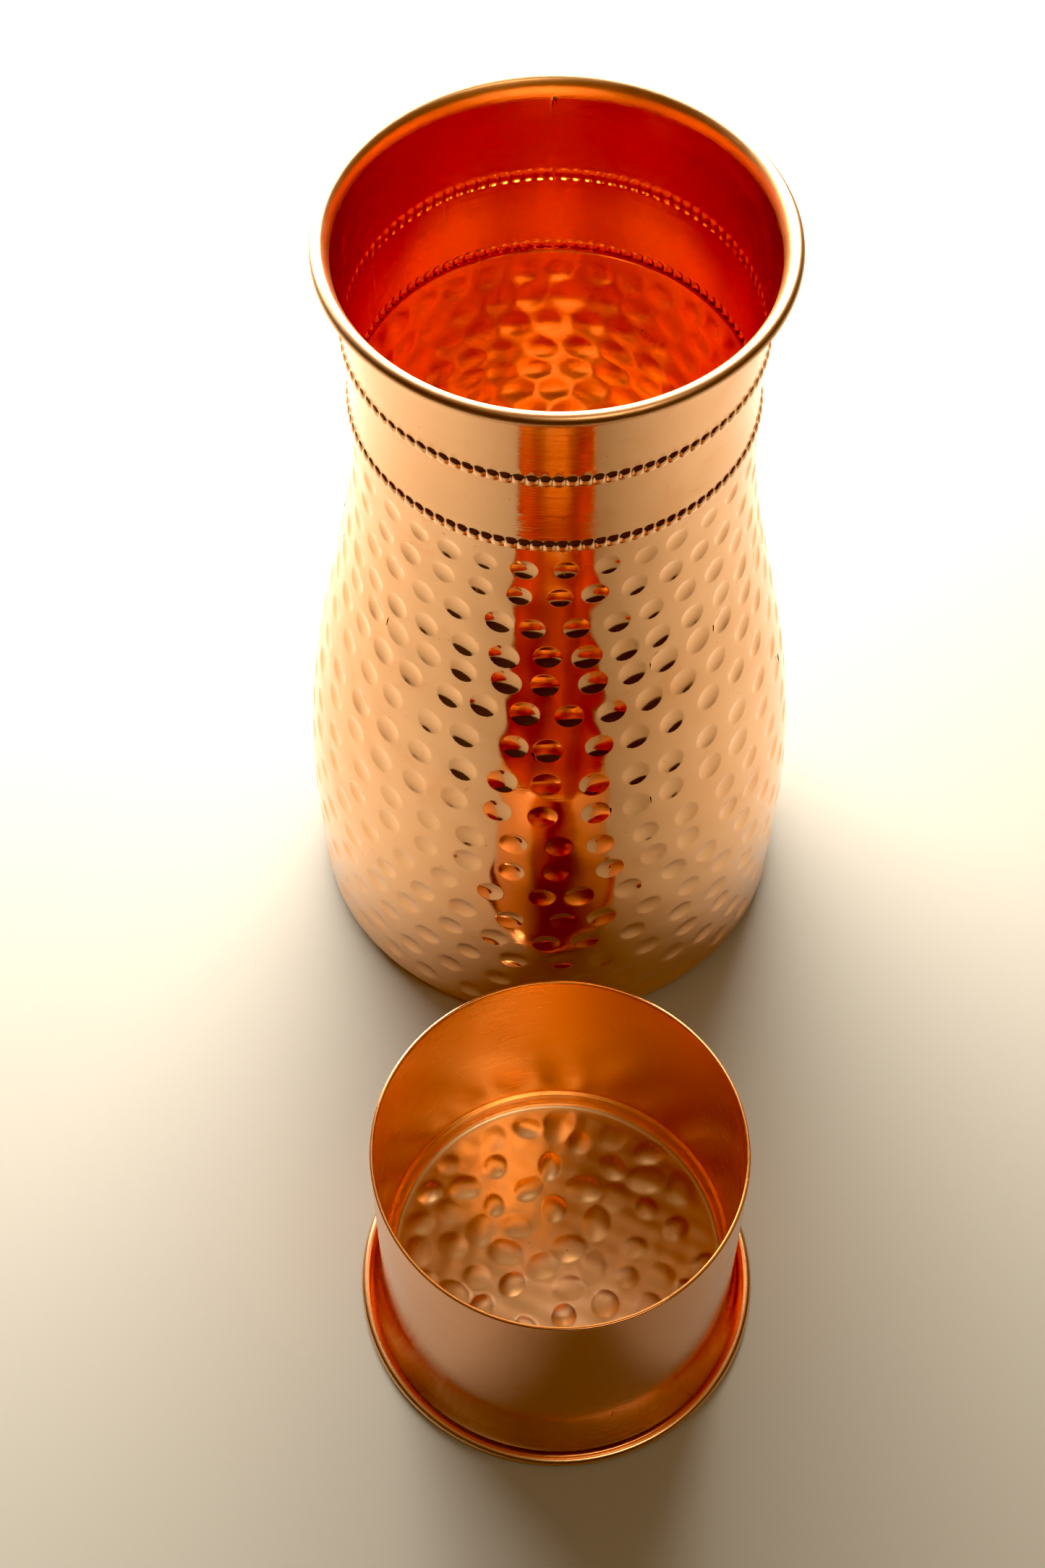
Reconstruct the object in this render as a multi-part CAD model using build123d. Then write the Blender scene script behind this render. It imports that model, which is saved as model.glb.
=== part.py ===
from build123d import *
import os
from math import cos, radians, sin, tan

# A hand-hammered copper water jug with its matching tumbler.  The jug stands on its base disc at the
# origin; the tumbler, which turned over is also the jug's lid, stands on its own foot in front (-Y).
# All sizes are millimetres, +Z is up, and every outline below is a list of (radius, height) points.

# Driving dimensions of the jug
SHEET = 0.9              # copper sheet of both vessels
BASE_R = 60.8            # base disc under the belly
BASE_OPENING_R = 50.0    # inner edge of the belly's turned-in bottom
CORNER_R = 5.0           # round between the belly's wall and its bottom
FOOT_R = 63.4            # outside of the belly just above that corner
BELLY_R = 64.0           # widest part of the belly
BELLY_Z = 45.0
SHOULDER_R = 57.5        # where the belly is drawing in
SHOULDER_Z = 102.0
THROAT_R = 48.4          # top of the long taper
THROAT_Z = 150.0
JOINT_R = 46.3           # outside of the belly where the neck collar starts
JOINT_Z = 181.5
WAIST_R = 46.1           # narrowest part of the neck collar
WAIST_Z = 193.0
UPPER_NECK_R = 46.6      # outside of the collar at the upper bead line
BEAD_LOW_Z = 183.6
BEAD_HIGH_Z = 204.5
BEAD_PROUD = 0.35
BEAD_HALF_HEIGHT = 0.9
CURL_R = 50.4            # centre of the rolled rim
CURL_Z = 227.4
CURL_TUBE = 1.6          # outside radius of the roll
CURL_START = 168.0       # degrees round the roll where the sheet enters it
CURL_END = -118.0        # and where it is tucked back against the neck
WIRE_R = 0.68            # stiffening wire inside the roll
SEAM_WIDTH = 0.6         # gap of the rolled-up collar, filled with braze
SEAM_TOP_Z = 224.0

# Driving dimensions of the tumbler
TUMBLER_X = 1.5
TUMBLER_Y = -136.7
WALL_R = 43.9            # outside of the straight wall
LIP_Z = 76.5
FLARE_Z = 18.0           # where the foot starts to flare
FLANGE_R = 48.0          # where the flare has turned flat
FLANGE_TOP_Z = 1.8
FLANGE_EDGE_R = 48.8
PLATE = 0.6              # thinner sheet of the tumbler's bottom plate
HEM_R = 48.5             # centre of the rolled hem round the foot
HEM_TUBE = 1.3
HEM_END = 120.0          # degrees round the hem where its edge stops, on top of the flange
FLOOR_TOP_Z = 14.0
FLOOR_CORNER_R = 3.0     # round between the tumbler's floor and its upturned edge
FLOOR_EDGE_Z = 18.5
FLOOR_GAP = 0.05         # clearance between the floor's edge and the wall

BRAZE = 0.7              # leg of a brazed fillet
BRAZE_TOUCH = 14.0       # degrees round the belly's corner where the base's braze touches it
CURVE_STEPS = 12         # points that carry a curve over to the sheet's other face


def turned(section):
    """A solid of revolution about Z from a section drawn in (radius, height)."""
    return revolve(Plane.XZ * section, Axis.Z)


def beside(edge, distance):
    """The edge that runs beside another at a distance, on its left."""
    def point(t):
        along = edge % t
        return edge @ t + Vector(-along.Y, along.X) * distance

    if edge.geom_type == GeomType.LINE:
        return Line(point(0), point(1))
    if edge.geom_type == GeomType.CIRCLE:
        return ThreePointArc(point(0), point(0.5), point(1))
    points = [point(i / CURVE_STEPS) for i in range(CURVE_STEPS + 1)]
    return Spline(*points, tangents=(edge % 0, edge % 1))


def sheet_section(path, thickness):
    """The section of a sheet with one face along the path's edges and its thickness on their left."""
    far = [beside(edge, thickness) for edge in path]
    ends = [Line(path[0] @ 0, far[0] @ 0), Line(path[-1] @ 1, far[-1] @ 1)]
    return make_face(path + far + ends)


def turned_corners(*points):
    """A turned ring from the corners of its section."""
    return turned(make_face(Polyline(*points, close=True)))


def on_circle(centre_r, centre_z, radius, degrees):
    """The point of a circle at an angle counted from its outer side, upwards."""
    angle = radians(degrees)
    return (centre_r + radius * cos(angle), centre_z + radius * sin(angle))


def arc_round(centre_r, centre_z, radius, first, last):
    """An arc of a circle from one angle to another."""
    middle = (first + last) / 2
    return ThreePointArc(*[on_circle(centre_r, centre_z, radius, a) for a in (first, middle, last)])


# The jug

def belly_shell():
    """Hammered belly: turned-in bottom, round corner, swelling wall and long taper to the neck."""
    bottom = Line((BASE_OPENING_R, SHEET), (FOOT_R - CORNER_R, SHEET))
    corner = arc_round(FOOT_R - CORNER_R, SHEET + CORNER_R, CORNER_R, -90, 0)
    wall = Spline(
        (FOOT_R, SHEET + CORNER_R),
        (BELLY_R, BELLY_Z),
        (SHOULDER_R, SHOULDER_Z),
        (THROAT_R, THROAT_Z),
        (JOINT_R, JOINT_Z),
        tangents=((0, 1), (0, 1)),
    )
    return turned(sheet_section([bottom, corner, wall], SHEET))


def base_disc():
    """Flat plate brazed under the belly's turned-in bottom."""
    return Cylinder(BASE_R, SHEET, align=(Align.CENTER, Align.CENTER, Align.MIN))


def base_braze():
    """Straight-faced ring of braze on the base disc's rim, tangent to the belly's corner above it."""
    touch_r, touch_z = on_circle(FOOT_R - CORNER_R, SHEET + CORNER_R, CORNER_R, BRAZE_TOUCH - 90)
    slope = tan(radians(BRAZE_TOUCH))
    return turned_corners(
        (touch_r - (touch_z - SHEET) / slope, SHEET),
        (BASE_R, SHEET),
        (BASE_R, touch_z + (BASE_R - touch_r) * slope),
    )


def bead_section(wall_r, z):
    """Section of the raised band that carries one row of small stamped beads."""
    foot_r = wall_r - SHEET / 2
    arc = ThreePointArc(
        (foot_r, z - BEAD_HALF_HEIGHT),
        (wall_r + BEAD_PROUD, z),
        (foot_r, z + BEAD_HALF_HEIGHT),
    )
    return make_face([arc, Line(arc @ 1, arc @ 0)])


def whole_collar():
    """Neck collar with its rolled rim and bead lines, before the gap of its seam is cut."""
    start = on_circle(CURL_R, CURL_Z, CURL_TUBE, CURL_START)
    lean = (sin(radians(CURL_START)), -cos(radians(CURL_START)))
    neck = Spline(
        (JOINT_R - SHEET, JOINT_Z),
        (WAIST_R - SHEET, WAIST_Z),
        (UPPER_NECK_R - SHEET, BEAD_HIGH_Z),
        start,
        tangents=((0, 1), lean),
    )
    curl = arc_round(CURL_R, CURL_Z, CURL_TUBE, CURL_START, CURL_END)
    section = sheet_section([neck, curl], -SHEET)
    section += bead_section(JOINT_R, BEAD_LOW_Z)
    section += bead_section(UPPER_NECK_R, BEAD_HIGH_Z)
    return turned(section)


def seam_slot():
    """Space of the collar's vertical seam, at the back of the neck."""
    height = SEAM_TOP_Z - JOINT_Z
    slot = Box(SEAM_WIDTH, 8 * SHEET, height, align=(Align.CENTER, Align.CENTER, Align.MIN))
    return Pos(0, UPPER_NECK_R, JOINT_Z) * slot


def joint_braze(belly, collar):
    """Bead of braze round the inside of the butt joint between belly and collar."""
    inner_r = JOINT_R - SHEET
    bead = turned_corners(
        (inner_r - BRAZE / 3, JOINT_Z),
        (inner_r, JOINT_Z - BRAZE),
        (inner_r + BRAZE / 3, JOINT_Z - BRAZE),
        (inner_r + BRAZE / 3, JOINT_Z + BRAZE),
        (inner_r, JOINT_Z + BRAZE),
    )
    return bead - belly - collar


def rim_wire():
    """Stiffening wire that the rim is rolled round."""
    return Pos(0, 0, CURL_Z) * Torus(CURL_R, WIRE_R)


# The tumbler

def tumbler_wall():
    """Straight wall that flares to a flat flange at the foot."""
    wall = Line((WALL_R, LIP_Z), (WALL_R, FLARE_Z))
    spread = FLANGE_R - WALL_R
    drop = FLARE_Z - FLANGE_TOP_Z
    flare = EllipticalCenterArc((FLANGE_R, FLARE_Z), spread, drop, start_angle=180, arc_size=90)
    flange = Line((FLANGE_R, FLANGE_TOP_Z), (FLANGE_EDGE_R, FLANGE_TOP_Z))
    shell = turned(sheet_section([wall, flare, flange], -SHEET))
    return fillet(shell.edges().group_by(Axis.Z)[-1], SHEET / 3)


def tumbler_bottom_plate():
    """Thin bottom plate with its edge rolled up and over the wall's flange."""
    plate = Line((0, 0), (HEM_R, 0))
    hem = arc_round(HEM_R, HEM_TUBE, HEM_TUBE, -90, HEM_END)
    return turned(sheet_section([plate, hem], PLATE))


def floor_edge_r():
    """Outside radius of the tumbler floor's upturned edge, just inside the wall."""
    return WALL_R - SHEET - FLOOR_GAP


def tumbler_floor():
    """Hammered floor of the tumbler, with an upturned edge against the wall."""
    edge_r = floor_edge_r()
    low_z = FLOOR_TOP_Z - SHEET
    flat = Line((0, low_z), (edge_r - FLOOR_CORNER_R, low_z))
    corner = arc_round(edge_r - FLOOR_CORNER_R, low_z + FLOOR_CORNER_R, FLOOR_CORNER_R, -90, 0)
    edge = Line((edge_r, low_z + FLOOR_CORNER_R), (edge_r, FLOOR_EDGE_Z))
    return turned(sheet_section([flat, corner, edge], SHEET))


def floor_braze(wall):
    """Fillet of braze on top of the floor's upturned edge."""
    edge_r = floor_edge_r()
    wedge = turned_corners(
        (edge_r - BRAZE, FLOOR_EDGE_Z),
        (WALL_R, FLOOR_EDGE_Z),
        (WALL_R, FLOOR_EDGE_Z + BRAZE),
        (edge_r, FLOOR_EDGE_Z + BRAZE),
    )
    return wedge - wall


def jug_pieces():
    belly = belly_shell()
    whole = whole_collar()
    slot = seam_slot()
    return {
        "belly_shell": belly,
        "base_disc": base_disc(),
        "base_braze_ring": base_braze(),
        "neck_collar": whole - slot,
        "neck_seam_braze": whole & slot,
        "neck_joint_braze": joint_braze(belly, whole),
        "rim_wire": rim_wire(),
    }


def tumbler_pieces():
    wall = tumbler_wall()
    pieces = {
        "tumbler_wall": wall,
        "tumbler_bottom_plate": tumbler_bottom_plate(),
        "tumbler_floor": tumbler_floor(),
        "tumbler_floor_braze": floor_braze(wall),
    }
    return {name: Pos(TUMBLER_X, TUMBLER_Y, 0) * piece for name, piece in pieces.items()}


def main():
    os.makedirs("parts", exist_ok=True)
    for name, piece in (jug_pieces() | tumbler_pieces()).items():
        export_step(piece, f"parts/{name}.step")
        print(name, round(piece.volume, 1))


main()
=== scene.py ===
import math

import bpy
import numpy as np
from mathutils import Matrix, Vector


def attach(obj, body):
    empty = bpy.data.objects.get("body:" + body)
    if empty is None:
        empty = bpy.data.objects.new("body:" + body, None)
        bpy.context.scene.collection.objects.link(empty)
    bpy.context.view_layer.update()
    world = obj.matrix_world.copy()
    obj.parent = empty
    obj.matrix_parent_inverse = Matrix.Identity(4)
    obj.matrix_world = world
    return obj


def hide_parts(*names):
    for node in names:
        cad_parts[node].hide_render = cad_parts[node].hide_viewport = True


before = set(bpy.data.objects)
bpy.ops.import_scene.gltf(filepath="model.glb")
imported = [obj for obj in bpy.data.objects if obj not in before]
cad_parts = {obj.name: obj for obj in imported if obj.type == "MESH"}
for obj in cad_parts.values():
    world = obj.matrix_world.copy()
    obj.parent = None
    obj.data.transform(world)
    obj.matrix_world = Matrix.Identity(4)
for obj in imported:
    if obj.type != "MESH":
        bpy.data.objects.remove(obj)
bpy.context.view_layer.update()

# A hand-hammered copper jug and its tumbler.  Shapes are written in millimetres and turned into
# metres when a mesh is made.  Outlines are lists of (radius, height).  An angle of 0 is the front of
# the jug, towards the tumbler, and angles grow to the right as seen from there.
MM = 0.001
FULL_TURN = 2 * math.pi
SHEET = 0.9
TOLERANCE = 0.01                         # for comparing heights

# Jug
FOOT_R, CORNER_R, BASE_OPENING_R = 63.4, 5.0, 50.0
JOINT_Z, NECK_TOP_Z = 181.5, 224.0
BELLY_KNOTS = [(FOOT_R, SHEET + CORNER_R), (64.0, 45.0), (57.5, 102.0), (48.4, 150.0), (46.3, JOINT_Z)]
NECK_KNOTS = [
    (45.4, JOINT_Z), (45.2, 193.0), (45.7, 204.5), (46.3, 212.5), (46.95, 219.0), (47.6, NECK_TOP_Z),
]
NECK_ROWS, LEAN_ROWS, SMALLEST_STEP = 20, 9, 0.16
CURL_R, CURL_Z, CURL_TUBE = 50.4, 227.4, 1.6
CURL_START, CURL_END, CURL_ROWS = 138.0, -118.0, 34
SEAM_HALF_WIDTH = 0.3

# Hammered part of the belly: the rows of dimples from the neck down, each with the angle in degrees
# of one dimple near the front
HAMMERED_LOW_Z, HAMMERED_HIGH_Z = 7.9, 179.9
DIMPLES_PER_ROW = 33
DIMPLE_ROWS = [
    (175.0, 3.1), (166.0, 0.5), (156.4, 5.6), (146.5, -2.6), (138.2, 9.0), (128.7, 4.1),
    (118.2, 0.0), (106.4, -1.3), (95.8, -1.8), (84.8, 1.5), (75.0, 2.4), (64.8, -3.2),
    (54.8, 1.8), (44.3, -1.8), (33.6, 2.4), (23.0, -2.6), (12.6, 2.2),
]
DIMPLE_R_TOP, DIMPLE_R_LOW, DIMPLE_FULL_Z = 2.75, 3.65, 135.0
DIMPLE_SIZES, DIMPLE_DEPTHS = (0.92, 1.06), (0.8, 1.12)  # lowest and highest share of the usual
TURN_SCATTER, SHIFT_SCATTER = (0.7, 1.3), (0.35, 0.7)    # spread and limit, in degrees and millimetres
DIMPLE_SLOPE = 0.15                      # depth for each millimetre of radius
DIMPLE_EDGE = 0.07                       # rounding of the edge, as a share of the depth
DIMPLE_REACH = 1.6                       # how far past its radius a dimple still bends the sheet
DIMPLE_RINGS = (0.46, 0.8, 0.965, 1.07)  # the mesh's rings round a dimple, as shares of its radius
POINTS_PER_CELL_SIDE = 3
NO_DIMPLE = (100.0, 0.0, 1.0, 0.0)       # a dimple far from every point
# Inside the jug a dimple's radius grows, its depth is this share, and its edge is rounded more
INNER_GROWTH, INNER_DEPTH, INNER_EDGE = 0.45, 0.8, 0.35
# Waves of the sheet: how many, the length along the outline where they start, and the lengths over
# which they fade in there and fade out at the top
WAVES, WAVES_FROM, WAVES_FADE_LOW, WAVES_FADE_HIGH = 14, 14, 12, 8
# Ranges of a wave's count round the jug (the second number is left out), of its change of phase for
# each millimetre along the outline, and of its height
WAVES_AROUND, WAVES_ALONG, WAVE_HEIGHTS = (5, 26), (0.1, 0.42), (0.008, 0.022)

# Beads of the two lines on the neck
BEADS_PER_LINE, STEPS_PER_BEAD = 104, 10
BEAD_LINES, BEAD_LINE_SHIFT = (183.15, 204.4), 0.37
BEAD_HALF_HEIGHT, BEAD_HEIGHT = 1.7, 0.66
BEAD_POWER_ACROSS, BEAD_POWER_UP = 3.2, 2.2
BEAD_ROWS = (-1.3, -1.15, *np.linspace(-1.03, 1.03, 17), 1.15, 1.3)  # shares of a bead's half height
OUTER_BEAD_ROUNDING, INNER_BEAD_ROUNDING, INNER_BEAD_SHARE = 0.85, 0.9, 0.6

# Tumbler
TUMBLER_CENTRE = (1.5, -136.7)
TUMBLER_SIDES, TUMBLER_FLOOR_SIDES, WALL_ROWS = 288, 352, 40
WALL_R, LIP_Z, LIP_ROUNDING, FLARE_Z = 43.9, 76.5, 0.3, 18.0
FLANGE_R, FLANGE_TOP_Z, FLANGE_EDGE_R = 48.0, 1.8, 48.8
PLATE, HEM_R, HEM_TUBE, HEM_END, HEM_ROWS = 0.6, 48.5, 1.3, 120.0, 26
FLOOR_TOP_Z, FLOOR_CORNER_R, FLOOR_EDGE_R, FLOOR_EDGE_Z = 14.0, 3.0, 42.95, 18.5
BUMP_TRIES, BUMPS_WITHIN_R, BUMP_SPACING, BUMP_EDGE, BUMP_REACH = 6000, 37.5, 7.4, 0.05, 2.2
BUMP_WIDTHS, BUMP_STRETCHES, BUMP_HEIGHTS = (2.6, 4.0), (1.0, 1.45), (0.35, 0.8)
RELIEF_MARGIN, RELIEF_FADE = 0.2, 1.5    # how far past the flat floor its relief ends, over what width


# Outlines

def unit(v):
    return v / np.maximum(np.linalg.norm(v, axis=-1, keepdims=True), 1e-12)


def spline(knots, start, end, per_span=240):
    """Smooth line through the knots that leaves and arrives in the given directions."""
    p = np.array(knots, float)
    h = np.linalg.norm(np.diff(p, axis=0), axis=1)
    n = len(p)
    a, b = np.zeros((n, n)), np.zeros((n, 2))
    a[0, 0] = a[-1, -1] = 1.0
    b[0], b[-1] = unit(np.array(start, float)), unit(np.array(end, float))
    for i in range(1, n - 1):
        a[i, i - 1], a[i, i + 1] = 1 / h[i - 1], 1 / h[i]
        a[i, i] = 2 * (a[i, i - 1] + a[i, i + 1])
        b[i] = 3 * ((p[i] - p[i - 1]) / h[i - 1] ** 2 + (p[i + 1] - p[i]) / h[i] ** 2)
    m = np.linalg.solve(a, b)
    out = []
    for i in range(n - 1):
        t = np.linspace(0, 1, per_span, endpoint=i == n - 2)[:, None]
        out.append(
            (2 * t ** 3 - 3 * t ** 2 + 1) * p[i]
            + (t ** 3 - 2 * t ** 2 + t) * h[i] * m[i]
            + (3 * t ** 2 - 2 * t ** 3) * p[i + 1]
            + (t ** 3 - t ** 2) * h[i] * m[i + 1]
        )
    return np.vstack(out)


def arc(centre, radius, first, last, count, squeeze=1.0):
    """Points of a circle from one angle to another in degrees; squeeze flattens it in height."""
    a = np.radians(np.linspace(first, last, count))
    return np.stack([centre[0] + radius * np.cos(a), centre[1] + squeeze * radius * np.sin(a)], 1)


def level(first_r, last_r, z, count):
    """Points of a level line."""
    return np.stack([np.linspace(first_r, last_r, count), np.full(count, z)], 1)


def tangents(line):
    return unit(np.gradient(line, axis=0))


def offset(line, distance):
    """The line moved to its left."""
    t = tangents(line)
    return line + distance * np.stack([-t[:, 1], t[:, 0]], 1)


def lengths(line):
    return np.concatenate([[0], np.cumsum(np.linalg.norm(np.diff(line, axis=0), axis=1))])


def resample(line, at):
    s = lengths(line)
    return np.stack([np.interp(at, s, line[:, k]) for k in (0, 1)], 1)


# Meshes

def on_axis(r, angle, z, centre=(0, 0)):
    """Places at a radius, angle and height round a vertical axis."""
    return np.stack([centre[0] + r * np.sin(angle), centre[1] - r * np.cos(angle), z], -1)


def new_piece(name, points, faces, body, material, smooth_angle=None, normals=None, inside=None):
    """A mesh object that rides on a body.  Points are in millimetres.

    Edges that turn by more than smooth_angle, in degrees, are shaded sharp.  inside says for each
    point whether it lies inside the vessel, where the metal is rougher and, for some materials, its
    colour is tinted a deeper red-orange as painted reflection and shade."""
    mesh = bpy.data.meshes.new(name)
    mesh.from_pydata((np.asarray(points) * MM).tolist(), [], faces)
    mesh.update()
    if inside is not None:
        mark = mesh.attributes.new("inside", "FLOAT", "POINT")
        mark.data.foreach_set("value", np.asarray(inside, np.float32))
    mesh.polygons.foreach_set("use_smooth", np.ones(len(mesh.polygons), bool))
    if smooth_angle is not None:
        mesh.set_sharp_from_angle(angle=math.radians(smooth_angle))
    if normals is not None:
        mesh.normals_split_custom_set(normals)
    mesh.update()
    piece = bpy.data.objects.new(name, mesh)
    bpy.context.scene.collection.objects.link(piece)
    mesh.materials.append(material)
    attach(piece, body)
    return piece


def lathe(loop, angles, centre=(0, 0), displace=None, open_at_axis=False, gap=None):
    """Points and faces of an outline turned about a vertical axis.

    The loop runs anticlockwise in (radius, height).  displace(angle, r, z) gives each point's move
    in radius and height.  gap(index) says that the outline's face from that index to the next is
    left out between the last angle and the first.  A loop that is open_at_axis starts and ends on
    the axis."""
    rows, cols = len(loop), len(angles)
    r = np.repeat(loop[:, :1], cols, 1)
    z = np.repeat(loop[:, 1:], cols, 1)
    if displace is not None:
        dr, dz = displace(angles[None, :], r, z)
        r, z = r + dr, z + dz
    points = on_axis(r, angles[None, :], z, centre).reshape(-1, 3)
    faces = []
    for i in range(rows - 1 if open_at_axis else rows):
        low, high = i * cols, ((i + 1) % rows) * cols
        for j in range(cols):
            if gap is not None and j == cols - 1 and gap(i):
                continue
            k = (j + 1) % cols
            faces.append((low + j, low + k, high + k, high + j))
    if open_at_axis:
        faces = collapse_axis(faces, (0, rows - 1), cols)
        points, faces = compact(points, faces)
    return points, faces


def collapse_axis(faces, rows, cols):
    """Faces with the points of the given rows, which lie on the axis, joined into one each."""
    first = {row * cols + j: row * cols for row in rows for j in range(cols)}
    out = []
    for face in faces:
        ring = []
        for v in face:
            v = first.get(v, v)
            if v not in ring:
                ring.append(v)
        if len(ring) > 2:
            out.append(tuple(ring))
    return out


def compact(points, faces):
    """The same faces with unused points left out."""
    used = sorted({v for f in faces for v in f})
    new = {v: i for i, v in enumerate(used)}
    return np.asarray(points)[used], [tuple(new[v] for v in f) for f in faces]


def even_angles(count):
    return np.arange(count) * (FULL_TURN / count)


# Hammered belly

class BellySurface:
    """Both faces of the hammered belly, as functions of angle and length along the outline."""

    def __init__(self):
        flat_end_r = FOOT_R - CORNER_R
        flat = level(BASE_OPENING_R, flat_end_r, SHEET, count=61)[:-1]
        corner = arc((flat_end_r, SHEET + CORNER_R), CORNER_R, -90, 0, count=80)[:-1]
        wall = spline(BELLY_KNOTS, (0, 1), (0, 1))
        self.line = np.vstack([flat, corner, wall])
        self.s = lengths(self.line)
        self.t = tangents(self.line)
        self.wall_start = len(flat) + len(corner)
        self.flat_end_v, self.corner_end_v = self.s[len(flat)], self.s[self.wall_start]
        rng = np.random.default_rng(seed=7)
        self.waves = np.stack([
            rng.integers(*WAVES_AROUND, WAVES), rng.uniform(*WAVES_ALONG, WAVES),
            rng.uniform(0, FULL_TURN, WAVES), rng.uniform(*WAVE_HEIGHTS, WAVES)], 1)

    def length_at(self, z):
        wall = slice(self.wall_start, None)
        return np.interp(z, self.line[wall, 1], self.s[wall])

    def radius_at(self, v):
        return np.interp(v, self.s, self.line[:, 0])

    def unevenness(self, angle, v):
        """Low waves that hammering leaves in the sheet, which fade out towards both ends."""
        total = np.zeros(np.broadcast(angle, v).shape)
        for around, along, phase, height in self.waves:
            total = total + height * np.sin(around * angle + along * v + phase)
        low_fade = np.clip((v - WAVES_FROM) / WAVES_FADE_LOW, 0, 1)
        high_fade = np.clip((self.s[-1] - v) / WAVES_FADE_HIGH, 0, 1)
        return total * (low_fade * high_fade)

    def points(self, angle, v, dimple, inner):
        """dimple holds each point's dimple: angle, length, radius along the surface, depth."""
        r, z, tr, tz = (np.interp(v, self.s, a) for a in (*self.line.T, *self.t.T))
        c_angle, c_v, radius, depth = dimple.T
        around = (angle - c_angle) * self.radius_at(c_v)
        rho2 = around ** 2 + (v - c_v) ** 2
        edge = DIMPLE_EDGE * depth
        if inner:
            radius, depth = radius + INNER_GROWTH, INNER_DEPTH * depth
            edge = INNER_EDGE * depth
        dish = depth * (1 - rho2 / radius ** 2)
        dish = 0.5 * (dish + np.sqrt(dish ** 2 + edge ** 2))
        dish = np.where(rho2 < (radius + DIMPLE_REACH) ** 2, dish, 0)
        inward = dish + self.unevenness(angle, v) + (SHEET if inner else 0)
        return on_axis(r - tz * inward, angle, z + tr * inward)

    def normals(self, angle, v, dimple, inner, step=0.02):
        along = self.points(angle, v + step, dimple, inner) - self.points(angle, v - step, dimple, inner)
        turn = step / self.radius_at(v)
        around = self.points(angle + turn, v, dimple, inner) - self.points(angle - turn, v, dimple, inner)
        out = unit(np.cross(around, along))
        return -out if inner else out


def scatter(rng, spread, limit, count):
    return rng.normal(0, spread, count).clip(-limit, limit)


def dimple_centres(surface):
    """Angle, length, radius and depth of every dimple; each row is turned half a pitch further."""
    rng = np.random.default_rng(seed=31)
    count = DIMPLES_PER_ROW
    pitch = FULL_TURN / count
    rows, last = [], None
    for z, front in DIMPLE_ROWS:
        start = math.radians(front) % pitch
        if last is not None:
            start += pitch * round((last + pitch / 2 - start) / pitch)
        last = start
        angle = start + pitch * np.arange(count) + np.radians(scatter(rng, *TURN_SCATTER, count))
        v = surface.length_at(z) + scatter(rng, *SHIFT_SCATTER, count)
        grown = min(1, (JOINT_Z - z) / (JOINT_Z - DIMPLE_FULL_Z))
        usual = DIMPLE_R_TOP + (DIMPLE_R_LOW - DIMPLE_R_TOP) * grown
        radius = usual * rng.uniform(*DIMPLE_SIZES, count)
        depth = DIMPLE_SLOPE * radius * rng.uniform(*DIMPLE_DEPTHS, count)
        rows.append(np.stack([angle, v, radius, depth], 1))
    return np.array(rows)


def cell_corners(centres, low_v, high_v):
    """The corner (angle, length) between each three neighbouring dimples.

    between[i, j] lies under dimples j and j + 1 of row i, and beside[i, j] over dimples j and
    j + 1 of row i + 1.  Row -1 is the upper edge, and the last row the lower edge."""
    rows, cols = centres.shape[:2]
    last = rows - 1

    def at(i, j):
        return centres[i, j % cols, :2] + np.array([FULL_TURN * (j // cols), 0])

    between, beside = {}, {}
    for j in range(cols):
        for i in range(rows - 1):
            between[i, j] = (at(i, j) + at(i, j + 1) + at(i + 1, j)) / 3
            beside[i, j] = (at(i + 1, j) + at(i + 1, j + 1) + at(i, j + 1)) / 3
        between[-1, j] = np.array([at(0, j)[0], high_v])
        beside[-1, j] = np.array([(at(0, j)[0] + at(0, j + 1)[0]) / 2, high_v])
        between[last, j] = np.array([(at(last, j)[0] + at(last, j + 1)[0]) / 2, low_v])
        beside[last, j] = np.array([at(last, j + 1)[0], low_v])
    return between, beside


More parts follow.
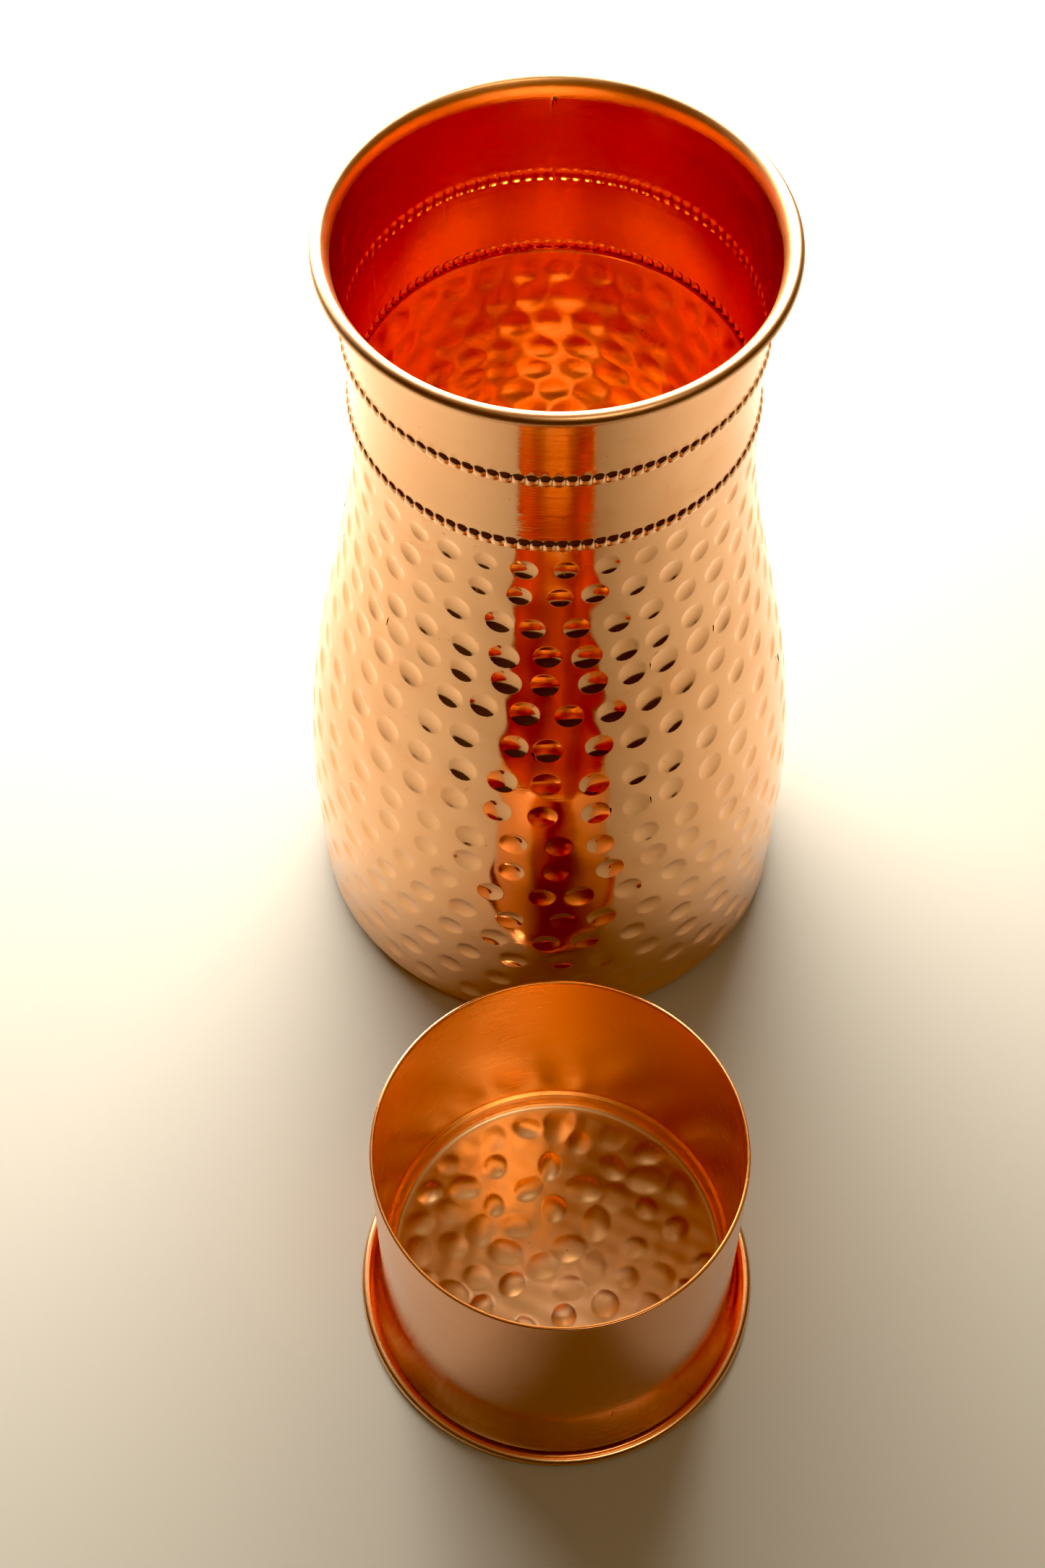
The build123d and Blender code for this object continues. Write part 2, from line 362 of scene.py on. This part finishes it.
class BellyMesh:
    """The hammered wall as cells, one round each dimple, with plain bands at both edges.

    A point has an angle and a length along the outline in uv, and the dimple that it belongs to."""

    def __init__(self, surface):
        self.surface = surface
        self.uv, self.dimple, self.faces, self.shared = [], [], [], {}
        centres = dimple_centres(surface)
        self.cols = centres.shape[1]
        self.low_v = surface.length_at(HAMMERED_LOW_Z)
        self.high_v = surface.length_at(HAMMERED_HIGH_Z)
        self.between, self.beside = cell_corners(centres, self.low_v, self.high_v)
        for i, row in enumerate(centres):
            for j, centre in enumerate(row):
                self.add_cell(centre, self.boundary(i, j))

    def add(self, where, dimple):
        self.uv.append(where)
        self.dimple.append(tuple(dimple))
        return len(self.uv) - 1

    def add_shared(self, key, where):
        """The point of the boundary with this key, made the first time that it is asked for."""
        if key not in self.shared:
            self.shared[key] = self.add(where, NO_DIMPLE)
        return self.shared[key]

    def corner(self, kind, i, j):
        table = self.between if kind == "between" else self.beside
        turned = np.array([FULL_TURN * (j // self.cols), 0])
        return table[i, j % self.cols] + turned, (kind, i, j % self.cols)

    def boundary(self, i, j):
        """The boundary of a dimple's cell, anticlockwise from its upper right corner."""
        ring = [("beside", i - 1, j), ("between", i - 1, j), ("beside", i - 1, j - 1),
                ("between", i, j - 1), ("beside", i, j - 1), ("between", i, j)]
        out = []
        for k in range(6):
            (p, a), (q, b) = self.corner(*ring[k]), self.corner(*ring[(k + 1) % 6])
            out.append(self.add_shared((a,), p))
            for m in range(1, POINTS_PER_CELL_SIDE):
                key = (a, b, m) if a < b else (b, a, POINTS_PER_CELL_SIDE - m)
                out.append(self.add_shared(key, p + (q - p) * m / POINTS_PER_CELL_SIDE))
        return out

    def add_cell(self, centre, bound):
        """Rings of points round the dimple's centre, and the faces between them and the boundary."""
        n = len(bound)
        scale = self.surface.radius_at(centre[1])
        first = np.array(self.uv[bound[0]]) - centre[:2]
        first[0] = (first[0] + math.pi) % FULL_TURN - math.pi
        start = math.atan2(first[1], first[0] * scale)
        middle = self.add(centre[:2], centre)
        before = None
        for share in DIMPLE_RINGS:
            ring = []
            for k in range(n):
                a = start + FULL_TURN * k / n
                away = share * centre[2] * np.array([math.cos(a) / scale, math.sin(a)])
                ring.append(self.add(centre[:2] + away, centre))
            for k in range(n):
                m = (k + 1) % n
                if before is None:
                    self.faces.append((middle, ring[k], ring[m]))
                else:
                    self.faces.append((before[k], ring[k], ring[m], before[m]))
            before = ring
        for k in range(n):
            m = (k + 1) % n
            self.faces.append((before[k], bound[k], bound[m], before[m]))

    def edge_at(self, v):
        """The points of the edge at a length along the outline, by angle."""
        found = [k for k, (_, along) in enumerate(self.uv) if abs(along - v) < 1e-9]
        return sorted(found, key=lambda k: self.uv[k][0] % FULL_TURN)

    def add_bands(self, edge, lengths_along, upwards):
        """Plain bands from an edge to each length along the outline in turn; gives the last edge."""
        for along in lengths_along:
            ring = [self.add(np.array([self.uv[v][0], along]), NO_DIMPLE) for v in edge]
            for k in range(len(edge)):
                m = (k + 1) % len(edge)
                quad = (edge[k], edge[m], ring[m], ring[k])
                self.faces.append(quad if upwards else quad[::-1])
            edge = ring
        return edge


def hammered_belly(material):
    surface = BellySurface()
    mesh = BellyMesh(surface)
    low, high = mesh.edge_at(mesh.low_v), mesh.edge_at(mesh.high_v)
    round_corner = np.linspace(surface.corner_end_v, surface.flat_end_v, 8)
    across_bottom = [4.0, 0.0]
    down = [surface.length_at(HAMMERED_LOW_Z - 1), *round_corner, *across_bottom]
    top = mesh.add_bands(high, [surface.s[-1]], True)
    bottom = mesh.add_bands(low, down, False)
    uv, dimple = np.array(mesh.uv, float), np.array(mesh.dimple, float)
    count = len(uv)
    points = np.vstack([surface.points(*uv.T, dimple, inner) for inner in (False, True)])
    normal = np.vstack([surface.normals(*uv.T, dimple, inner) for inner in (False, True)])
    faces = mesh.faces + [tuple(v + count for v in reversed(f)) for f in mesh.faces]
    loops = [normal[v] for f in faces for v in f]
    for edge, upwards in ((top, True), (bottom, False)):
        n = len(edge)
        for k in range(n):
            m = (k + 1) % n
            quad = (edge[k], edge[m], edge[m] + count, edge[k] + count)
            faces.append(quad if upwards else quad[::-1])
            towards_axis = unit(-points[edge[k]] * np.array([1, 1, 0]))
            loops += [(0, 0, 1) if upwards else tuple(towards_axis)] * 4
    piece = new_piece("hammered_belly", points, faces, "jug", material,
                      normals=[tuple(n) for n in loops], inside=np.arange(2 * count) >= count)
    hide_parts("belly_shell")


# Neck collar with beads and rolled rim

def bead_height(angle, z, rounding):
    """Relief of the two lines of beads.  A smaller rounding makes blunter beads with steeper sides."""
    pitch = FULL_TURN / BEADS_PER_LINE
    total = 0.0
    for number, centre in enumerate(BEAD_LINES):
        across = ((angle / pitch + BEAD_LINE_SHIFT * number) % 1.0) * 2 - 1
        up = (z - centre) / BEAD_HALF_HEIGHT
        dome = 1 - np.abs(across) ** BEAD_POWER_ACROSS - np.abs(up) ** BEAD_POWER_UP
        total = total + BEAD_HEIGHT * np.clip(dome, 0, 1) ** rounding
    return total


def neck_heights():
    """Heights of the neck's rows of points, which are close together at the beads."""
    stops = set(np.round(np.linspace(JOINT_Z, NECK_TOP_Z, NECK_ROWS), 3))
    for line in BEAD_LINES:
        for share in BEAD_ROWS:
            stops.add(round(max(JOINT_Z, line + share * BEAD_HALF_HEIGHT), 3))
    stops = sorted(stops)
    kept = [stops[0]]
    for z in stops[1:]:
        if z - kept[-1] > SMALLEST_STEP:
            kept.append(z)
    return np.array(kept)


def neck_lines():
    """The collar's inner and outer outline from the joint up to where the rim's curl starts."""
    start = arc((CURL_R, CURL_Z), CURL_TUBE, CURL_START, CURL_START, count=1)[0]
    lean = (math.sin(math.radians(CURL_START)), -math.cos(math.radians(CURL_START)))
    neck = spline(NECK_KNOTS + [tuple(start)], (0, 1), lean)
    s = lengths(neck)
    neck_top = np.interp(NECK_TOP_Z, neck[:, 1], s)
    upright = np.interp(neck_heights(), neck[:, 1], s)
    at = np.concatenate([upright, np.linspace(neck_top, s[-1], LEAN_ROWS)[1:]])
    outer = offset(neck, -SHEET)
    return resample(neck, at), resample(outer, lengths(outer)[-1] * at / s[-1])


def neck_seam(inside, outside, half_angle, material):
    """The strip of braze that closes the collar's seam at the back."""
    line = np.vstack([inside, outside])
    n, count = len(inside), 2 * len(inside)
    points = np.vstack([on_axis(line[:, 0], math.pi + way * half_angle, line[:, 1]) for way in (-1, 1)])
    faces = [(0, count, count + n, n), (n - 1, 2 * n - 1, count + 2 * n - 1, count + n - 1)]
    for i in range(n - 1):
        faces += [
            (i, i + 1, count + i + 1, count + i),
            (n + i, count + n + i, count + n + i + 1, n + i + 1),
            (i, n + i, n + i + 1, i + 1),
            (count + i, count + i + 1, count + n + i + 1, count + n + i),
        ]
    piece = new_piece("neck_seam", points, faces, "jug", material, smooth_angle=40,
                      inside=np.arange(len(points)) % count < n)
    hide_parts("neck_seam_braze")


def neck_collar(material):
    """The collar is open at the back, up to the height where the seam ends, and the seam fills it."""
    inside, outside = neck_lines()
    n = len(inside)
    curl = arc((CURL_R, CURL_Z), CURL_TUBE, CURL_START, CURL_END, CURL_ROWS)[1:]
    tucked = arc((CURL_R, CURL_Z), CURL_TUBE - SHEET, CURL_START, CURL_END, CURL_ROWS)[1:]
    loop = np.vstack([inside, curl, tucked[::-1], outside[::-1]])[::-1]
    rows = len(loop)
    half = SEAM_HALF_WIDTH / NECK_KNOTS[1][0]
    beside_seam = inside[:, 1] < NECK_TOP_Z + TOLERANCE
    neck_seam(inside[beside_seam], outside[beside_seam], half, material)
    sides = BEADS_PER_LINE * STEPS_PER_BEAD
    angles = np.linspace(-math.pi + half, math.pi - half, sides)
    inner_rows = np.arange(rows) >= rows / 2
    wall_rows = np.abs(np.arange(rows) - (rows - 1) / 2) > len(curl) - 0.5
    open_rows = wall_rows & (loop[:, 1] < NECK_TOP_Z + TOLERANCE)

    def displace(angle, r, z):
        inner = INNER_BEAD_SHARE * bead_height(angle, z, INNER_BEAD_ROUNDING)
        out = np.where(inner_rows[:, None], inner, bead_height(angle, z, OUTER_BEAD_ROUNDING))
        return out * wall_rows[:, None], 0 * out

    def gap(i):
        return open_rows[i] and open_rows[(i + 1) % rows]

    points, faces = lathe(loop, angles, displace=displace, gap=gap)
    outer = [i for i in range(n) if open_rows[i]]
    for a, b in zip(outer, outer[1:]):
        for col, flip in ((0, False), (sides - 1, True)):
            quad = tuple(i * sides + col for i in (a, b, rows - 1 - b, rows - 1 - a))
            faces.append(quad[::-1] if flip else quad)
    top, top_inside = outer[-1] * sides, (rows - 1 - outer[-1]) * sides
    faces.append((top + sides - 1, top, top_inside, top_inside + sides - 1))
    piece = new_piece("beaded_neck_collar", points, faces, "jug", material,
                      smooth_angle=48, inside=np.repeat(inner_rows & wall_rows, sides))
    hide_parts("neck_collar")


# Tumbler

def tumbler_wall(material):
    lip_r, lip_z = LIP_ROUNDING, LIP_Z - LIP_ROUNDING
    wall = np.stack([np.full(WALL_ROWS, WALL_R), np.linspace(lip_z, FLARE_Z, WALL_ROWS)], 1)
    spread, drop = FLANGE_R - WALL_R, FLARE_Z - FLANGE_TOP_Z
    flare = arc((FLANGE_R, FLARE_Z), spread, 180, 270, count=WALL_ROWS, squeeze=drop / spread)[1:]
    path = np.vstack([wall, flare, [(FLANGE_EDGE_R, FLANGE_TOP_Z)]])
    inner = offset(path, -SHEET)
    lip = arc((WALL_R - lip_r, lip_z), lip_r, 0, 90, count=6)[1:]
    lip_in = arc((WALL_R - SHEET + lip_r, lip_z), lip_r, 90, 180, count=6)[:-1]
    loop = np.vstack([path[::-1], lip, lip_in, inner])
    points, faces = lathe(loop, even_angles(TUMBLER_SIDES), TUMBLER_CENTRE)
    outer_points = (len(path) + len(lip)) * TUMBLER_SIDES
    piece = new_piece("spun_tumbler_wall", points, faces, "tumbler", material,
                      smooth_angle=40, inside=np.arange(len(points)) >= outer_points)
    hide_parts("tumbler_wall")


def tumbler_plate(material):
    """The bottom plate, with its edge rolled up and over the wall's flange."""
    centre = (HEM_R, HEM_TUBE)
    outer, inner = (
        np.vstack([level(0, HEM_R, z, count=24), arc(centre, HEM_TUBE - z, -90, HEM_END, HEM_ROWS)[1:]])
        for z in (0, PLATE)
    )
    loop = np.vstack([outer, inner[::-1]])
    points, faces = lathe(loop, even_angles(TUMBLER_SIDES), TUMBLER_CENTRE, open_at_axis=True)
    piece = new_piece("hemmed_tumbler_plate", points, faces, "tumbler", material,
                      smooth_angle=40)
    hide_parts("tumbler_bottom_plate")


def floor_bumps():
    """The bumps of the tumbler's floor: place (x, y), length, width, turn and height of each."""
    rng = np.random.default_rng(seed=12)
    found = []
    for _ in range(BUMP_TRIES):
        r, a = BUMPS_WITHIN_R * math.sqrt(rng.uniform()), rng.uniform(0, FULL_TURN)
        x, y = r * math.cos(a), r * math.sin(a)
        if all((x - q[0]) ** 2 + (y - q[1]) ** 2 > BUMP_SPACING ** 2 for q in found):
            width = rng.uniform(*BUMP_WIDTHS)
            length = width * rng.uniform(*BUMP_STRETCHES)
            turn = rng.uniform(0, math.pi)
            found.append((x, y, length, width, turn, rng.uniform(*BUMP_HEIGHTS)))
    return found


def floor_relief(x, y, bumps):
    """How far the hammered floor stands up at a place: its bumps, and low waves in the whole of it."""
    up = np.zeros_like(x)
    for bump_x, bump_y, length, width, turn, height in bumps:
        along = (x - bump_x) * math.cos(turn) + (y - bump_y) * math.sin(turn)
        beside = (y - bump_y) * math.cos(turn) - (x - bump_x) * math.sin(turn)
        away = (along / length) ** 2 + (beside / width) ** 2
        dome = height * (1 - away)
        dome = 0.5 * (dome + np.sqrt(dome ** 2 + BUMP_EDGE ** 2))
        up = np.maximum(up, np.where(away < BUMP_REACH, dome, 0))
    up += 0.16 * np.sin(0.31 * x + 1.1) * np.sin(0.27 * y + 0.4)
    up += 0.07 * np.sin(0.83 * x + 0.35 * y) * np.sin(0.71 * y - 0.3 * x + 2.0)
    return up


def tumbler_floor(material):
    low_z = FLOOR_TOP_Z - SHEET
    flat_r = FLOOR_EDGE_R - FLOOR_CORNER_R
    centre = (flat_r, low_z + FLOOR_CORNER_R)
    under, top = (
        np.vstack([
            level(0, flat_r, low_z + up, count=74),
            arc(centre, FLOOR_CORNER_R - up, -90, 0, count=12)[1:],
            [(FLOOR_EDGE_R - up, FLOOR_EDGE_Z)],
        ])
        for up in (0, SHEET)
    )
    loop = np.vstack([under, top[::-1]])
    bumps = floor_bumps()

    def displace(angle, r, z):
        up = floor_relief(r * np.sin(angle), -r * np.cos(angle), bumps)
        return 0 * up, up * np.clip((flat_r + RELIEF_MARGIN - r) / RELIEF_FADE, 0, 1)

    angles = even_angles(TUMBLER_FLOOR_SIDES)
    points, faces = lathe(loop, angles, TUMBLER_CENTRE, displace, open_at_axis=True)
    piece = new_piece("hammered_tumbler_floor", points, faces, "tumbler", material,
                      smooth_angle=55)
    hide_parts("tumbler_floor")


# Materials

class Tree:
    """A short way to write a material's node tree."""

    def __init__(self, name):
        self.material = bpy.data.materials.new(name)
        self.material.use_nodes = True
        self.nodes = self.material.node_tree.nodes
        self.links = self.material.node_tree.links
        self.shader = self.nodes["Principled BSDF"]
        self.coordinates = self.nodes.new("ShaderNodeTexCoord").outputs["Object"]

    def link(self, value, socket):
        if isinstance(value, bpy.types.NodeSocket):
            self.links.new(value, socket)
        else:
            socket.default_value = value

    def attribute(self, name):
        node = self.nodes.new("ShaderNodeAttribute")
        node.attribute_name = name
        return node.outputs["Fac"]

    def height(self):
        node = self.nodes.new("ShaderNodeSeparateXYZ")
        self.links.new(self.coordinates, node.inputs["Vector"])
        return node.outputs["Z"]

    def noise(self, stretch, scale, detail, roughness, distortion=0.0, rotation=(0, 0, 0)):
        """Noise whose pattern is finer, the larger the stretch along an axis and the scale."""
        place = self.nodes.new("ShaderNodeMapping")
        self.links.new(self.coordinates, place.inputs["Vector"])
        place.inputs["Scale"].default_value = stretch
        place.inputs["Rotation"].default_value = rotation
        node = self.nodes.new("ShaderNodeTexNoise")
        self.links.new(place.outputs["Vector"], node.inputs["Vector"])
        node.inputs["Scale"].default_value = scale
        node.inputs["Detail"].default_value = detail
        node.inputs["Roughness"].default_value = roughness
        node.inputs["Distortion"].default_value = distortion
        return node.outputs["Fac"]

    def remap(self, value, low, high, to_low=0.0, to_high=1.0):
        node = self.nodes.new("ShaderNodeMapRange")
        self.link(value, node.inputs["Value"])
        node.inputs["From Min"].default_value = low
        node.inputs["From Max"].default_value = high
        node.inputs["To Min"].default_value = to_low
        node.inputs["To Max"].default_value = to_high
        return node.outputs["Result"]

    def math(self, operation, a, b):
        node = self.nodes.new("ShaderNodeMath")
        node.operation = operation
        self.link(a, node.inputs[0])
        self.link(b, node.inputs[1])
        return node.outputs["Value"]

    def add(self, a, b):
        return self.math("ADD", a, b)

    def times(self, a, b):
        return self.math("MULTIPLY", a, b)

    def mix(self, factor, a, b):
        node = self.nodes.new("ShaderNodeMix")
        node.data_type = "RGBA"
        self.link(factor, node.inputs["Factor"])
        self.link(a if not isinstance(a, tuple) else (*a, 1), node.inputs[6])
        self.link(b if not isinstance(b, tuple) else (*b, 1), node.inputs[7])
        return node.outputs[2]

    def bump(self, height, distance):
        node = self.nodes.new("ShaderNodeBump")
        node.inputs["Strength"].default_value = 1.0
        node.inputs["Distance"].default_value = distance
        self.links.new(height, node.inputs["Height"])
        return node.outputs["Normal"]


MICRON = 1e-6
EVEN = (1, 1, 1)
LIGHT, DEEP, STAIN = (0.92, 0.54, 0.285), (0.90, 0.48, 0.23), (0.80, 0.34, 0.13)
SPOT_COLOUR = tuple(0.45 * c for c in STAIN)
INNER_REFLECTION_SHARE = 0.8                         # share of the painted inner reflection colour inside a vessel
STAIN_SHARE, SPOT_SHARE = 0.5, 0.6       # share of their colours where stains and spots are strongest
SATIN_FADE, SATIN_DULLNESS = 0.0015, 0.26
SCRATCH_DEPTH, SPOT_DEPTH = 1.6, 2.0     # microns
SCRATCH_DULLNESS, STAIN_DULLNESS = 0.12, 0.10
LINES, WIDE_LINES = 1500, 520            # how fine the lathe's lines are with height
WIDE_LINE_DEPTH = 1.6                    # as a share of the finer lines' depth
LINE_DULLNESS = 0.35                     # as a share of the highest roughness


def copper(name, light, deep, polish, brushing, grain=0.0, streak=9, inner_dullness=0.0,
           painted_inner_reflection=None, satin_from=None):
    """Worked copper.

    Its colour varies from light to deep and its roughness over the range that polish gives.
    brushing is the height of the lines left round the vessel by the lathe, and grain that of a fine
    even roughness, both in microns.  A higher streak makes the lines shorter.  Inside the vessel the
    metal is rougher by inner_dullness, and its colour is drawn towards the painted inner reflection
    colour, a deeper red-orange that is painted reflection and shade standing in for light bounced
    round inside the vessel.  Above the height satin_from, in metres, it has a satin finish."""
    t = Tree(name)
    broad = t.noise(EVEN, 26, 4, 0.55)
    cloud = t.noise(EVEN, 75, 6, 0.62, distortion=0.6)
    spots = t.noise(EVEN, 900, 2, 0.4)
    lines = t.noise((streak, streak, LINES), 1, 4, 0.6)
    wide_lines = t.noise((5, 5, WIDE_LINES), 1, 3, 0.5)
    scratches_a = t.noise((700, 700, 22), 1, 2, 0.5, rotation=(0, 0.5, 0.3))
    scratches_b = t.noise((26, 640, 640), 1, 2, 0.5, rotation=(0.2, -0.3, 0.7))
    scratches = t.math("MAXIMUM", t.remap(scratches_a, 0.72, 0.78), t.remap(scratches_b, 0.73, 0.79))
    spot = t.remap(spots, 0.74, 0.8, 0, SPOT_SHARE)

    tone = t.add(t.remap(broad, 0.3, 0.7, 0, 0.8), t.remap(wide_lines, 0.3, 0.7, 0, 0.2))
    colour = t.mix(tone, light, deep)
    colour = t.mix(t.remap(cloud, 0.56, 0.78, 0, STAIN_SHARE), colour, STAIN)
    # Painted reflection and shade: inside the vessel the colour is drawn towards a deeper red-orange that
    # stands in for light bounced round inside it.
    if painted_inner_reflection:
        colour = t.mix(t.times(t.attribute("inside"), INNER_REFLECTION_SHARE), colour, painted_inner_reflection)
    colour = t.mix(spot, colour, SPOT_COLOUR)

    line_dullness = LINE_DULLNESS * polish[1]
    rough = t.add(t.remap(broad, 0.3, 0.7, *polish), t.remap(lines, 0.35, 0.75, 0, line_dullness))
    rough = t.add(rough, t.remap(scratches, 0, 1, 0, SCRATCH_DULLNESS))
    rough = t.add(rough, t.remap(cloud, 0.55, 0.78, 0, STAIN_DULLNESS))
    if inner_dullness:
        rough = t.add(rough, t.times(t.attribute("inside"), inner_dullness))
    if satin_from:
        rough = t.add(rough, t.remap(t.height(), satin_from, satin_from + SATIN_FADE, 0, SATIN_DULLNESS))

    height = t.add(t.times(lines, brushing), t.times(wide_lines, WIDE_LINE_DEPTH * brushing))
    height = t.math("SUBTRACT", height, t.times(scratches, SCRATCH_DEPTH))
    height = t.math("SUBTRACT", height, t.times(spot, SPOT_DEPTH))
    if grain:
        height = t.add(height, t.times(t.noise(EVEN, 2600, 3, 0.6), grain))

    t.shader.inputs["Metallic"].default_value = 1.0
    t.link(colour, t.shader.inputs["Base Color"])
    t.link(rough, t.shader.inputs["Roughness"])
    t.link(t.bump(height, MICRON), t.shader.inputs["Normal"])
    return t.material


hammered = copper("hammered_copper", LIGHT, DEEP, (0.05, 0.09), 8.0, streak=200, inner_dullness=0.11)
# Inside the neck and the tumbler the colour is pulled towards a deeper red-orange, painted reflection and
# shade for light bounced round inside them.
brushed = copper("brushed_copper", LIGHT, DEEP, (0.05, 0.1), 30.0, streak=350, inner_dullness=0.05,
                 painted_inner_reflection=(0.85, 0.38, 0.12), satin_from=0.2242)
satin = copper("satin_copper", (0.86, 0.42, 0.20), (0.82, 0.37, 0.165), (0.11, 0.17), 8.0, grain=1.0,
               streak=120, inner_dullness=0.13, painted_inner_reflection=(0.93, 0.41, 0.11))
floor_copper = copper("hammered_floor", (0.93, 0.66, 0.40), (0.89, 0.58, 0.32), (0.28, 0.38), 0.5,
                      grain=2.0)
plain = copper("plain_copper", LIGHT, DEEP, (0.2, 0.28), 2.5)
wire = copper("copper_wire", LIGHT, DEEP, (0.2, 0.3), 1.0)
braze = copper("braze", (0.90, 0.66, 0.40), (0.85, 0.56, 0.30), (0.2, 0.35), 0.5, grain=4.0)

hammered_belly(hammered)
neck_collar(brushed)
tumbler_wall(satin)
tumbler_plate(plain)
tumbler_floor(floor_copper)
for node, material in {
    "base_disc": plain, "base_braze_ring": braze,
    "neck_joint_braze": brushed, "rim_wire": wire, "tumbler_floor_braze": braze,
}.items():
    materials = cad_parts[node].data.materials
    materials.clear()
    materials.append(material)

# Stage, light and camera, all in metres

scene = bpy.context.scene


def stage_plane(name, size, location, tilt, colour, roughness):
    """A matt rectangle that isn't part of the object, tilted up about the x axis by so many degrees."""
    material = bpy.data.materials.new(name)
    material.use_nodes = True
    shader = material.node_tree.nodes["Principled BSDF"]
    shader.inputs["Base Color"].default_value = (*colour, 1)
    shader.inputs["Roughness"].default_value = roughness
    shader.inputs["Specular IOR Level"].default_value = 0.3
    mesh = bpy.data.meshes.new(name)
    x, y = size[0] / 2, size[1] / 2
    mesh.from_pydata([(-x, -y, 0), (x, -y, 0), (x, y, 0), (-x, y, 0)], [], [(0, 1, 2, 3)])
    mesh.materials.append(material)
    plane = bpy.data.objects.new(name, mesh)
    plane.location, plane.rotation_euler = location, (math.radians(tilt), 0, 0)
    scene.collection.objects.link(plane)
    return plane


def area_light(name, size, location, target, power, colour):
    light = bpy.data.lights.new(name, "AREA")
    light.shape, light.size, light.size_y = "RECTANGLE", size[0], size[1]
    light.energy, light.color = power, colour
    lamp = bpy.data.objects.new(name, light)
    lamp.location = location
    way = Vector(np.array(target) - np.array(location))
    lamp.rotation_euler = way.to_track_quat("-Z", "Y").to_euler()
    lamp.visible_camera = False
    scene.collection.objects.link(lamp)


# The two dark planes stand for the dark side of the room, which the front of the jug reflects.  They
# are seen in reflections alone, so that they leave no mark on the floor.
stage_plane("floor", (30, 30), (0, 0, 0), 0, (0.48, 0.45, 0.37), 0.6)
dark_planes = (
    stage_plane("dark_card", (1.2, 0.25), (0, -0.316, 0.125), 90, (0.014, 0.007, 0.004), 0.9),
    stage_plane("dark_table", (1.6, 1.0), (0, -0.81, 0.001), 0, (0.03, 0.016, 0.008), 0.7),
)
for plane in dark_planes:
    plane.visible_camera = plane.visible_diffuse = plane.visible_shadow = False

area_light("window", (0.9, 0.4), (-0.13, 0.55, 0.34), (-0.01, 0.05, 0.03), 18.5, (1.0, 0.99, 0.98))
area_light("bright_wall", (1.4, 0.7), (0, 1.1, 1.05), (0, 0, 0.1), 3.6, (1.0, 0.90, 0.75))
area_light("overhead_softbox", (0.32, 0.16), (0, 0.17, 0.42), (0, -0.02, 0.18), 0.95, (1.0, 0.96, 0.88))
area_light("ceiling_light", (0.62, 0.5), (0.37, -0.70, 1.40), (0, -0.1, 0.05), 3.4, (1.0, 0.84, 0.58))

# A room that is dim and brown all round and lighter overhead, towards the back
LIGHTER_SIDE = (0, 0.5, 0.866)
DIM, LIGHTER = (0.58, (0.06, 0.028, 0.012, 1)), (0.90, (0.36, 0.21, 0.11, 1))

world = bpy.data.worlds.new("soft_room")
world.use_nodes = True
tree = world.node_tree
towards = tree.nodes.new("ShaderNodeVectorMath")
towards.operation = "DOT_PRODUCT"
towards.inputs[1].default_value = LIGHTER_SIDE
tree.links.new(tree.nodes.new("ShaderNodeTexCoord").outputs["Generated"], towards.inputs[0])
ramp = tree.nodes.new("ShaderNodeValToRGB")
tree.links.new(towards.outputs["Value"], ramp.inputs["Fac"])
for stop, (position, colour) in zip(ramp.color_ramp.elements, (DIM, LIGHTER)):
    stop.position, stop.color = position, colour
tree.links.new(ramp.outputs["Color"], tree.nodes["Background"].inputs["Color"])
tree.nodes["Background"].inputs["Strength"].default_value = 1.0
scene.world = world

LENS, SENSOR_WIDTH = 54.8, 36            # millimetres
CAMERA_PLACE, DEGREES_DOWN = (-0.00715, -0.37266, 0.57949), 56.21
BLACK_LEVEL = 0.012

camera_data = bpy.data.cameras.new("camera")
camera_data.sensor_width = SENSOR_WIDTH
camera_data.lens = LENS
camera_data.clip_start = 0.01
camera = bpy.data.objects.new("camera", camera_data)
camera.location = CAMERA_PLACE
camera.rotation_euler = (math.radians(90 - DEGREES_DOWN), 0, 0)
scene.collection.objects.link(camera)
scene.camera = camera

scene.view_settings.view_transform = "Standard"
scene.view_settings.use_curve_mapping = True
scene.view_settings.curve_mapping.black_level = (BLACK_LEVEL, BLACK_LEVEL, BLACK_LEVEL)
scene.cycles.glossy_bounces = 12
